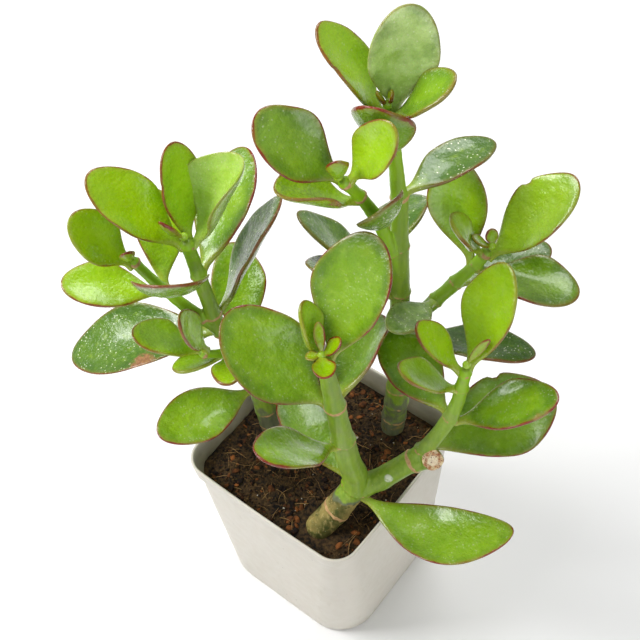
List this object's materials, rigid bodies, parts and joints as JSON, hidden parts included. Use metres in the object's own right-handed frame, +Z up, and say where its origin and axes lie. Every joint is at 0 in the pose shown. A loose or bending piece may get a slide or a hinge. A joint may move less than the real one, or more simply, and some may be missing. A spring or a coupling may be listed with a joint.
{
  "type": "potted jade plant",
  "caption": "Succulent plant with thick oval leaves on branching stems, rooted in soil in a square tapered nursery pot.",
  "frame": {"origin": "centre of the pot's underside, on the surface it stands on", "axes": "+Z up; X and Y across the pot's sides, with its corners on the diagonals"},
  "size_m": [0.2264, 0.1637, 0.3564],
  "materials": {
    "pot_plastic": "warm light grey moulded plastic, satin",
    "soil_mix": "dark fibrous potting mix, matt",
    "stem_bark": "smooth green to brown bark, satin",
    "leaf_skin": "waxy green leaf skin with a thin red margin"
  },
  "bodies": {
    "root": {"back_left_leaf_1": "leaf_skin", "back_left_leaf_2": "leaf_skin", "back_left_leaf_3": "leaf_skin", "back_left_leaf_4": "leaf_skin", "back_left_tip": "leaf_skin", "back_main_leaf_1": "leaf_skin", "back_main_leaf_2": "leaf_skin", "back_main_leaf_3": "leaf_skin", "back_main_leaf_4": "leaf_skin", "back_main_leaf_5": "leaf_skin", "back_main_leaf_6": "leaf_skin", "back_main_leaf_7": "leaf_skin", "back_main_leaf_8": "leaf_skin", "back_main_leaf_9": "leaf_skin", "back_right_leaf_1": "leaf_skin", "back_right_leaf_2": "leaf_skin", "back_right_leaf_3": "leaf_skin", "back_right_leaf_4": "leaf_skin", "back_right_leaf_5": "leaf_skin", "back_right_leaf_6": "leaf_skin", "back_right_tip": "leaf_skin", "back_stem": "stem_bark", "back_top_tip": "leaf_skin", "front_centre_tip": "leaf_skin", "front_main_leaf_1": "leaf_skin", "front_main_leaf_2": "leaf_skin", "front_main_leaf_3": "leaf_skin", "front_main_leaf_4": "leaf_skin", "front_main_leaf_5": "leaf_skin", "front_main_leaf_6": "leaf_skin", "front_main_leaf_7": "leaf_skin", "front_right_leaf_1": "leaf_skin", "front_right_leaf_2": "leaf_skin", "front_right_leaf_3": "leaf_skin", "front_right_leaf_4": "leaf_skin", "front_right_leaf_5": "leaf_skin", "front_right_leaf_6": "leaf_skin", "front_right_tip": "leaf_skin", "front_stem": "stem_bark", "left_low_leaf_1": "leaf_skin", "left_low_leaf_2": "leaf_skin", "left_low_leaf_3": "leaf_skin", "left_low_leaf_4": "leaf_skin", "left_main_leaf_1": "leaf_skin", "left_main_leaf_2": "leaf_skin", "left_main_leaf_3": "leaf_skin", "left_main_leaf_4": "leaf_skin", "left_main_leaf_5": "leaf_skin", "left_main_leaf_6": "leaf_skin", "left_main_leaf_7": "leaf_skin", "left_main_leaf_8": "leaf_skin", "left_side_leaf_1": "leaf_skin", "left_side_leaf_2": "leaf_skin", "left_side_leaf_3": "leaf_skin", "left_side_leaf_4": "leaf_skin", "left_side_tip": "leaf_skin", "left_stem": "stem_bark", "left_top_tip": "leaf_skin", "pot": "pot_plastic", "soil": "soil_mix"}
  },
  "joints": []
}
